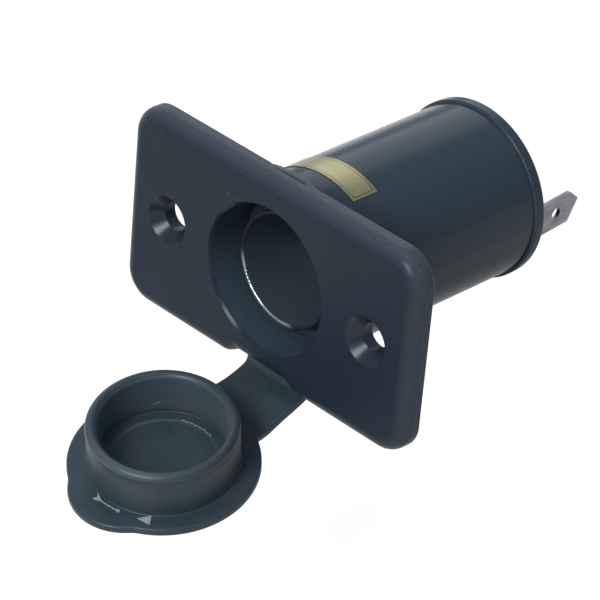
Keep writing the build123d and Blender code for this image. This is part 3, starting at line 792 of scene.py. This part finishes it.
def carried_strip(path, normals, twist, swell, turn):
    """The section carried along a path: path + side x across + normal x height, both twisted, with each end
    closed on its middle line, and all turned on the tube."""
    cosine, sine = np.cos(twist)[:, None], np.sin(twist)[:, None]
    side = (cosine * across - sine * normals)[:, None]
    up = (cosine * normals + sine * across)[:, None]
    path = path[:, None]
    width, height = strap_section.T
    swollen = strap_middle + (height - strap_middle) * swell[:, None]
    points = path + side * width[:, None] + up * swollen[..., None]
    lid = path + side * np.clip(width, -lid_half, lid_half)[:, None] + up * strap_middle
    points = np.concatenate((lid[:1], points, lid[-1:]))
    return turned_on_tube(points, np.concatenate((turn[:1], turn, turn[-1:])))


print("section of", len(strap_section), "points,", 2 * strap_half, "mm wide")

# %% [markdown]
# The first length starts inside the ring, goes straight down, round the bend and forwards to the seam. It is
# turned a little round the tube, and that turn fades towards the disc.

# %% First length, from the ring round the first bend
turn_end, turn_fade = 6.0, 7.0        # where that small turn is gone, and how long it fades


def turn_at(at):
    """How far the strap is turned on the tube: the whole turn x a soft step of (end - at) / fade."""
    return strap_turn * smooth((turn_end - at) / turn_fade)


stub_steps, bend_steps, run_steps = 16, 24, 18
stub_z = np.linspace(-stub_start, bend_centre[2], stub_steps)
stub = np.column_stack((np.zeros(stub_steps), np.full(stub_steps, ring_front), stub_z))
bend_angle = math.acos(np.dot(bend_normal, (0, -1, 0)))
bend_turn = np.linspace(0, bend_angle, bend_steps + 2)[1:-1]
bend_up = np.column_stack((np.zeros(bend_steps), -np.cos(bend_turn), np.sin(bend_turn)))
run_at = np.linspace(bend_at, strap_seam, run_steps)
run_points, run_normals = strap_top(run_at)
first_path = np.concatenate((stub, bend_centre - bend_up * bend_radius, run_points))
first_normals = np.concatenate((np.tile((0.0, -1.0, 0.0), (stub_steps, 1)), bend_up, run_normals))
first_turn = np.concatenate((np.full(stub_steps + bend_steps, turn_at(bend_at)), turn_at(run_at)))
leaves_ring, leave_length, thinner = 20.2, 0.6, 0.03
in_ring = smooth((first_path[:, 2] + leaves_ring) / leave_length)
first_swell = 1 - thinner * in_ring        # so that the faces of strap and ring don't coincide
first_points = carried_strip(first_path, first_normals, np.zeros(len(first_path)), first_swell, first_turn)
first_length = surface_piece("strap_at_ring", first_points, soft_pvc, sharp=60)

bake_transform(first_length)

# %% [markdown]
# The second length goes on to the cap. The cap lies rolled by five degrees, so the strap twists by as
# much on the way, slowly at both ends. Its last bit runs into the disc.

# %% Second length, twisted towards the cap
twist_start, twist_length = 2.1, 5.9
swell_at = (4.7, 7.3, 8.9, 9.7)
swell_by = (0.0, 0.012, 0.012, -0.06)        # just proud of the disc where they meet, and sunk at the end
second_at = np.concatenate((np.linspace(strap_seam, 7.8, 44), np.linspace(8.0, 9.7, 8)))
second_path, second_normals = strap_top(second_at)
second_twist = cap_roll * smooth((second_at - twist_start) / twist_length)
second_swell = 1 + np.interp(second_at, swell_at, swell_by)
second_points = carried_strip(second_path, second_normals, second_twist, second_swell, turn_at(second_at))
second_length = surface_piece("strap_at_cap", second_points, soft_pvc, sharp=60)
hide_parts("strap_link")
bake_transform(second_length)

# %% [markdown]
# ## Dust cap
#
# The cap is a disc with a hollow plug on it. A finger tab grows out of the disc on the far side from the
# strap. One profile goes from the cup's floor over a low ledge, up the wall, over the round lip and the
# slight neck under it, down the slanting wall to its foot on the disc, and round the disc's edge to the
# underside. The Spin tool could turn it round the axis, but it can't let the disc's edge follow an outline
# with a finger tab, and a formula can.

# %% Cap's directions and outline
cap_across = across * math.cos(cap_roll) - upward * math.sin(cap_roll)
cap_axis = upward * math.cos(cap_roll) + across * math.sin(cap_roll)
disc_radius, disc_round = 17.36, 0.45
lobe_radius, lobe_offset, lobe_blend = 10.4, 9.1, 0.45


def on_cap(radius, angle, height):
    """Points over the disc: centre + radius cos(angle) across + radius sin(angle) forward + height axis."""
    radius, angle, height = (value[..., None] for value in np.broadcast_arrays(radius, angle, height))
    flat = radius * np.cos(angle) * cap_across + radius * np.sin(angle) * forward
    return cap_centre + flat + height * cap_axis


def cap_outline(angle):
    """Distance from the axis to the disc's edge: the larger of the disc's circle and the finger tab's
    circle, blended where they meet."""
    from_tab = angle - np.pi / 2
    chord = np.sqrt(np.maximum(lobe_radius**2 - (lobe_offset * np.sin(from_tab)) ** 2, 0))
    tab = np.where(np.cos(from_tab) > 0, lobe_offset * np.cos(from_tab) + chord, 0)
    fill = np.maximum(lobe_blend - np.abs(tab - disc_radius), 0) ** 2 / (4 * lobe_blend)
    return np.maximum(tab, disc_radius) + fill


print("cap's middle at", np.round(cap_centre, 2), "mm, finger tab to", lobe_offset + lobe_radius, "mm")

# %% [markdown]
# The plug's profile is a row of arcs and straight stretches that touch each other. It could be a list of
# points read off a drawing. Here each arc's centre is worked out from the arc before it, so the line stays
# smooth when one size changes: the lip ends at an angle, the neck starts there, and the wall slants from
# the neck down to the foot.

# %% Profile of the plug
plug_inner, plug_height = 11.73, 9.25
ledge_inner, ledge_height, ledge_rise = 10.1, 0.25, 0.9
corner_round, lip_round, neck_round, foot_round = 0.15, 1.04, 5.0, 0.25
lip_turn, draft = 13.0, 2.0        # degrees: where lip and neck meet, and the wall's slant
mark_radius, mark_width, mark_height = 7.3, 0.25, 0.02        # a faint ring on the cup's floor


def arc(centre, radius, first, last, steps):
    """Points of an arc in the profile: centre + radius x (cos, sin) from one angle in degrees to another."""
    turn = np.radians(np.linspace(first, last, steps))
    return centre + radius * np.column_stack((np.cos(turn), np.sin(turn)))


def line(radius, height):
    """Points of the profile at given radii and heights, either of which may be one number."""
    return np.column_stack(np.broadcast_arrays(radius, height))


def ledge_level(radius):
    """Height of the ledge in the cup: a soft step that ends at its inner radius."""
    return ledge_height * smooth((radius - ledge_inner + ledge_rise) / ledge_rise)


def foot_level(radius):
    """Height of the plug's soft foot over the disc: a quarter circle from the wall out to the disc."""
    inwards = np.clip(foot_radius - radius, 0, foot_round)
    return foot_round - np.sqrt(foot_round**2 - inwards**2)


lip_angle, slant = math.radians(lip_turn), math.radians(draft)
lip_centre = np.array((plug_inner + lip_round, plug_height - lip_round))
neck_centre = lip_centre + (lip_round + neck_round) * np.array((math.cos(lip_angle), -math.sin(lip_angle)))
wall_top = neck_centre - neck_round * np.array((math.cos(slant), math.sin(slant)))
wall_foot = foot_round * (1 - math.sin(slant))
foot_radius = wall_top[0] + (wall_top[1] - wall_foot) * math.tan(slant) + foot_round * math.cos(slant)
wall_bottom = np.array((foot_radius - foot_round * math.cos(slant), wall_foot))
wall_share = np.linspace(0, 1, 12)[1:-1, None]
floor_ring = np.linspace(6.4, 8.2, 15)
ledge_step = np.linspace(ledge_inner - ledge_rise, ledge_inner, 9)
corner_centre = np.array((plug_inner - corner_round, ledge_height + corner_round))
plug_profile = np.concatenate(
    (
        line(np.linspace(0, 6.2, 7), 0.0),
        line(floor_ring, mark_height * np.exp(-(((floor_ring - mark_radius) / mark_width) ** 2))),
        line(np.linspace(8.4, ledge_inner - 1.0, 3), 0.0),
        line(ledge_step, ledge_level(ledge_step)),
        line(np.linspace(ledge_inner + 0.15, corner_centre[0] - 0.1, 4), ledge_height),
        arc(corner_centre, corner_round, -90, 0, 6),
        line(plug_inner, np.linspace(0.6, lip_centre[1] - 0.2, 8)),
        arc(lip_centre, lip_round, 180, -lip_turn, 32),
        arc(neck_centre, neck_round, 180 - lip_turn, 180 + draft, 20)[1:],
        wall_top + wall_share * (wall_bottom - wall_top),
        arc(np.array((foot_radius, foot_round)), foot_round, 180 + draft, 270, 16),
    )
)
print("profile of", len(plug_profile), "points, foot at", round(foot_radius, 2), "mm")

# %% [markdown]
# A share says how far each row of the grid follows the disc's outline: not at all on the plug, and wholly
# at the disc's edge. The flat rows go from one to the other, and those of the underside go back to the
# middle.

# %% Cap as a turned profile with an outline
flat_share = np.linspace(0, 1, 7)[1:]
edge_turn = np.radians(np.linspace(90, -90, 17))[1:]
under_share = np.linspace(1, 0, 22)[1:]
base_radius = np.concatenate(
    (
        plug_profile[:, 0],
        foot_radius * (1 - flat_share) - disc_round * flat_share,
        -disc_round + disc_round * np.cos(edge_turn),
        -disc_round * under_share,
    )
)
edge_share = np.concatenate((np.zeros(len(plug_profile)), flat_share, np.ones(len(edge_turn)), under_share))
edge_middle = np.where(edge_turn > 0, -disc_round, disc_round - strap_thickness)
level = np.concatenate(
    (
        plug_profile[:, 1],
        np.zeros(len(flat_share)),
        edge_middle + disc_round * np.sin(edge_turn),
        np.full(len(under_share), -strap_thickness),
    )
)
cap_turn = np.linspace(0, 2 * np.pi, 288, endpoint=False)
cap_radius = base_radius[:, None] + edge_share[:, None] * cap_outline(cap_turn)[None]
cap_points = on_cap(cap_radius, cap_turn, level[:, None])
cap_piece = surface_piece("soft_cap", cap_points, soft_pvc, sharp=70)
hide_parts("cap")
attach(cap_piece, "dust_cap")

# %% [markdown]
# The inside of the cup is painted paler, as dust and as fill light in its hollow. On one side the plug's
# wall gets a painted glow and its lip a painted highlight. Where that is gets written on the mesh as a number
# for each point, and the material reads it. It could be painted by hand, but soft steps and bell curves of
# place are easier to repeat.

# %% Dust and painted light on the cap
wall_side = plug_inner + 0.25        # inside this radius a point belongs to the cup
wall_glow, wall_glow_at, wall_glow_wide = 0.7, 68, 18        # strength, and angle and width in degrees
wall_glow_height, wall_glow_tall = 4.4, 2.6                 # millimetres over the disc
lip_highlight, lip_highlight_at, lip_highlight_wide = 1.4, 78, 40

flat_points = np.empty(3 * len(cap_piece.data.vertices), dtype=np.float32)
cap_piece.data.vertices.foreach_get("co", flat_points)
from_centre = flat_points.reshape(-1, 3) / MM - cap_centre
sideways, ahead_of, rise = from_centre @ cap_across, from_centre @ forward, from_centre @ cap_axis
out = np.hypot(sideways, ahead_of)
round_cap = np.degrees(np.arctan2(ahead_of, sideways))
# Painted fill light with dust in the cup, a painted glow on the wall and a painted highlight on the lip
in_cup_dust_and_light = smooth((rise - 0.3) / 1.2) * (out < wall_side)
aside_of_glow = (round_cap - wall_glow_at) / wall_glow_wide
over_glow = (rise - wall_glow_height) / wall_glow_tall
on_wall = np.exp(-(aside_of_glow**2) - over_glow**2) * (out > wall_side)
on_lip = smooth((rise - 8.0) / 0.6) * smooth((out - plug_inner - 0.5) / 0.5)
on_lip = np.exp(-(((round_cap - lip_highlight_at) / lip_highlight_wide) ** 2)) * on_lip
dust_and_painted_light = np.maximum(np.maximum(in_cup_dust_and_light, wall_glow * on_wall), lip_highlight * on_lip)
dust_layer = cap_piece.data.attributes.new("dust_and_painted_light", "FLOAT", "POINT")
dust_layer.data.foreach_set("value", dust_and_painted_light.astype(np.float32))
print("points with dust and painted light:", int((dust_and_painted_light > 0.2).sum()), "of", len(dust_and_painted_light))

# %% [markdown]
# ## Arrow marks
#
# Two raised arrows on the disc show which way to lift. Fingers rub their tops, and rubbed PVC turns a dry
# pale grey, which also stands as a painted highlight on the raised marks. The cap's own material with more
# dust could show that, but it would stay too smooth.

# %% Rubbed PVC with a painted highlight
rub_size = 0.4            # millimetres between rubbed spots

# Dry pale grey, uneven: wear and a painted highlight
worn_and_lit_pvc, tree, shader, place = start_material("rubbed soft PVC with painted highlight", IOR=1.52)
rub = add_node(
    tree, "TexNoise", {"Vector": place, "Scale": 1 / (rub_size * MM), "Detail": 3.0, "Roughness": 0.6}
)
tone = add_node(tree, "ValToRGB", {0: rub.outputs["Fac"]})
two_tones(tone, "#666f74", "#8b9296", 0.35, 0.65)
shine = add_node(tree, "MapRange", {0: rub.outputs["Fac"], 3: 0.4, 4: 0.65})
connect(tree, shader, Base_Color=tone.outputs[0], Roughness=shine.outputs[0])
print(worn_and_lit_pvc.name, "made")

# %% [markdown]
# The arrows could be raised from the disc's own mesh, but thin pieces that lie on it leave its grid smooth.
# Each is a strip that follows a circle round the disc, with its width given at every step. A lean and a
# notch shape the tail of the longer one.

# %% Raised arrows
arrow_height, arrow_foot = 0.25, -0.1
across_top = np.linspace(-1, 1, 9)


def raised_mark(name, circle, start_angle, along, half_width, lean, tail):
    """A raised strip round the disc. Across it, s goes from -1 to 1: the radius is circle + s half_width,
    and the way along is along + lean s - tail (1 - |s|), turned into an angle. The ends close at the foot."""
    side = np.concatenate((across_top, across_top[::-1]))
    top_and_foot = np.repeat((arrow_height, arrow_foot), len(across_top))
    end_row = np.full((1, len(side)), arrow_foot)
    rise = np.concatenate((end_row, np.tile(top_and_foot, (len(along), 1)), end_row))
    values = (along, half_width, lean, tail)
    along, half_width, lean, tail = (np.pad(value, 1, mode="edge")[:, None] for value in values)
    angle = np.radians(start_angle) + (along + lean * side - tail * (1 - np.abs(side))) / circle
    radius = circle + half_width * side
    points = on_cap(radius, angle, rise + foot_level(radius))
    piece = surface_piece(name, points, worn_and_lit_pvc, sharp=35)
    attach(piece, "dust_cap")


head_circle, head_angle = 15.15, 51.5        # millimetres from the axis, and degrees round it
head_length, head_width, tip_width = 2.35, 1.05, 0.02
head_along = np.linspace(0, head_length, 8)
head_half = head_width * (1 - head_along / head_length) + tip_width
straight = np.zeros(len(head_along))
raised_mark("arrow_head", head_circle, head_angle, head_along, head_half, straight, straight)

stem_circle, stem_angle = 14.9, 75.4
stem_half_width, dot_radius, dot_flatness = 0.07, 0.37, 0.85
stem_length, arrow_length = 3.7, 5.6
tail_start, tail_width, tail_lean, tail_notch = 3.8, 0.72, -0.36, 0.6
dot_along = np.linspace(-0.36, 0.34, 9)
stem_run = np.linspace(0.5, stem_length, 12)
tail_along = np.linspace(3.9, arrow_length, 10)
stem_along = np.concatenate((dot_along, stem_run, tail_along))
dot_half = np.sqrt(np.maximum(dot_radius**2 - stem_along**2, 0)) * dot_flatness
tail_share = smooth((stem_along - stem_length) / (arrow_length - stem_length))
tail_half = tail_width * np.clip((stem_along - tail_start) / (arrow_length - tail_start), 0, 1)
stem_half = np.maximum(dot_half, stem_half_width) + tail_half
lean, notch = tail_lean * tail_share, tail_notch * tail_share
raised_mark("arrow_with_stem", stem_circle, stem_angle, stem_along, stem_half, lean, notch)

# %% [markdown]
# ## Small marks in the cup
#
# The cup has been used: a short scratch on its inner wall. A pale line on the ledge's edge is a painted
# highlight, drawn as a thin line of flash. They could be part of the bump, but real relief catches the
# light. Each is a thin line of raised material that follows a path on the surface.

# %% Scratch, and a painted highlight on the ledge
def hair_line(name, angle, radius, height, outwards, half_width):
    """A thin raised line on the cap. Round each point of its path go four corners: one half_width to either
    side, one third of it out of the surface and one third into it."""
    turn = np.radians(angle)
    path = on_cap(radius, turn, height)
    along = np.gradient(path, axis=0)
    from_axis = np.cos(turn)[:, None] * cap_across + np.sin(turn)[:, None] * forward
    out = outwards[0] * from_axis + outwards[1] * cap_axis
    aside = np.cross(along, out)
    aside = aside / np.linalg.norm(aside, axis=1)[:, None]
    ring = np.stack((aside, out / 3, -aside, -out / 3), axis=1)
    piece = surface_piece(name, path[:, None] + ring * half_width[:, None, None], worn_and_lit_pvc)
    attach(piece, "dust_cap")


# The scratch goes up a little as it goes round, and is widest in its middle
share = np.linspace(0, 1, 24)
scratch_angle, scratch_height = -148.3 + 9.8 * share, 1.95 + 0.72 * share
scratch_half = 0.09 * np.sin(np.pi * share)
hair_line("cup_scratch", scratch_angle, plug_inner, scratch_height, (-1, 0), scratch_half)

# The ledge's painted highlight wanders, and two waves that don't fit together make its width uneven
share = np.linspace(0, 1, 120)
ledge_glint_half = 0.075 + 0.03 * np.sin(47 * share) + 0.025 * np.sin(113 * share + 1)
ledge_glint_half[[0, -1]] = 0
ledge_glint_radius = ledge_inner - 0.22 + 0.07 * np.sin(29 * share)
ledge_glint_angle = -119 + 40 * share
hair_line("cup_ledge_glint", ledge_glint_angle, ledge_glint_radius, ledge_level(ledge_glint_radius), (0, 1), ledge_glint_half)
